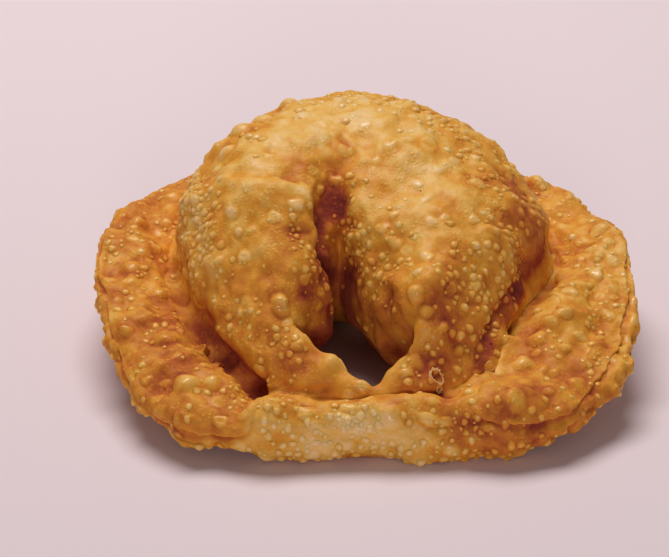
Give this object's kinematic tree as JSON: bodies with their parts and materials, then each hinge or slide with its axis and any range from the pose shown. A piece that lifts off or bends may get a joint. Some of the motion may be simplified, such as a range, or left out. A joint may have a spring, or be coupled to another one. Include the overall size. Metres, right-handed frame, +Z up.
{
  "type": "empanada",
  "caption": "Deep-fried folded empanada shaped like a brimmed hat: a domed, cleft pillow whose tapering ends meet round a finger-wide hole behind a thick sealed bar, covered in blisters.",
  "frame": {"origin": "on the table, under the middle of the outline", "axes": "+X to the right of someone facing the bar, +Y from the bar to the back of the dome, +Z up"},
  "size_m": [0.1106, 0.1058, 0.0443],
  "materials": {
    "fried_dough": "golden fried dough, oily satin, blistered"
  },
  "bodies": {
    "root": {"empanada_crust": "fried_dough"}
  },
  "joints": []
}
